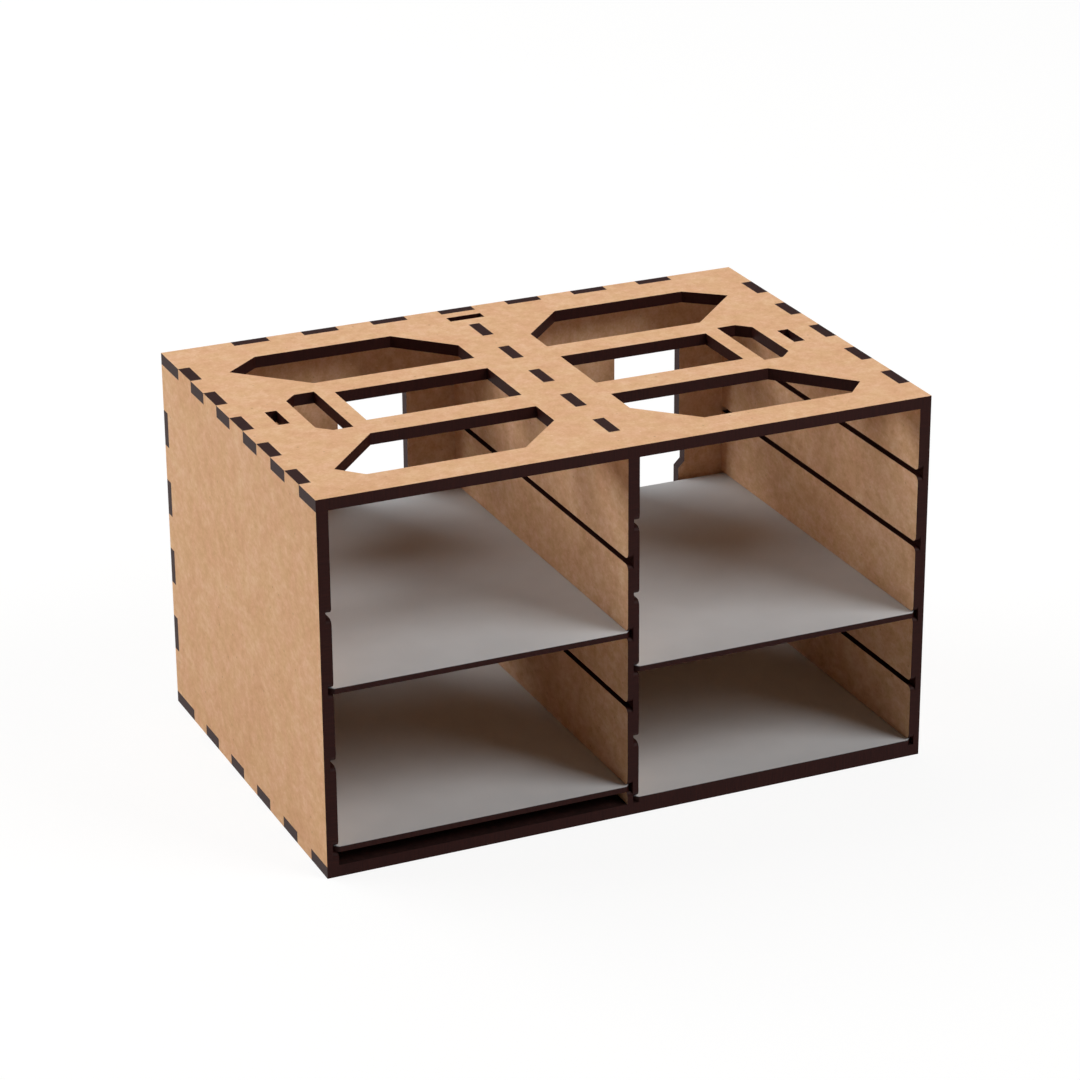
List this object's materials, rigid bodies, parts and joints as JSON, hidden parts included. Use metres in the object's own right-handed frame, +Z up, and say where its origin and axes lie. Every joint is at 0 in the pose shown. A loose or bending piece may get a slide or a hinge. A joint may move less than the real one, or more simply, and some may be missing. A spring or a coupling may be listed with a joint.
{
  "type": "miniature carrying case",
  "caption": "Open-fronted finger-jointed fibreboard case with two bays of flat trays that slide in grooves, a cut-out top and a windowed back.",
  "frame": {"origin": "middle of the footprint, on the surface that the case stands on", "axes": "+X to the right as seen from the open front, +Y towards the back, +Z up; the open front faces -Y"},
  "size_m": [0.32, 0.218, 0.1934],
  "materials": {
    "fibreboard": "bare medium-density fibreboard, matt faces and dark laser-burnt edges",
    "dark_fibreboard": "dark maroon-brown fibreboard, satin, with laser-burnt edges",
    "tray_board": "bare fibreboard with dark laser-burnt edges",
    "ferrous_facing": "smooth light grey face on a dark iron-filled core, satin"
  },
  "bodies": {
    "case": {"top_panel": "fibreboard", "bottom_panel": "dark_fibreboard", "left_side_panel": "fibreboard", "right_side_panel": "fibreboard", "centre_divider": "fibreboard", "back_panel": "fibreboard"},
    "left_upper_tray": {"left_upper_tray_board": "tray_board", "left_upper_tray_facing": "ferrous_facing"},
    "left_lower_tray": {"left_lower_tray_board": "tray_board", "left_lower_tray_facing": "ferrous_facing"},
    "right_upper_tray": {"right_upper_tray_board": "tray_board", "right_upper_tray_facing": "ferrous_facing"},
    "right_lower_tray": {"right_lower_tray_board": "tray_board", "right_lower_tray_facing": "ferrous_facing"}
  },
  "joints": [
    {"name": "left_upper_tray_slide", "type": "slide", "parent": "case", "child": "left_upper_tray", "axis": [0, -1, 0], "range_m": [0, 0.19]},
    {"name": "left_lower_tray_slide", "type": "slide", "parent": "case", "child": "left_lower_tray", "axis": [0, -1, 0], "range_m": [0, 0.19]},
    {"name": "right_upper_tray_slide", "type": "slide", "parent": "case", "child": "right_upper_tray", "axis": [0, -1, 0], "range_m": [0, 0.19]},
    {"name": "right_lower_tray_slide", "type": "slide", "parent": "case", "child": "right_lower_tray", "axis": [0, -1, 0], "range_m": [0, 0.19]}
  ]
}
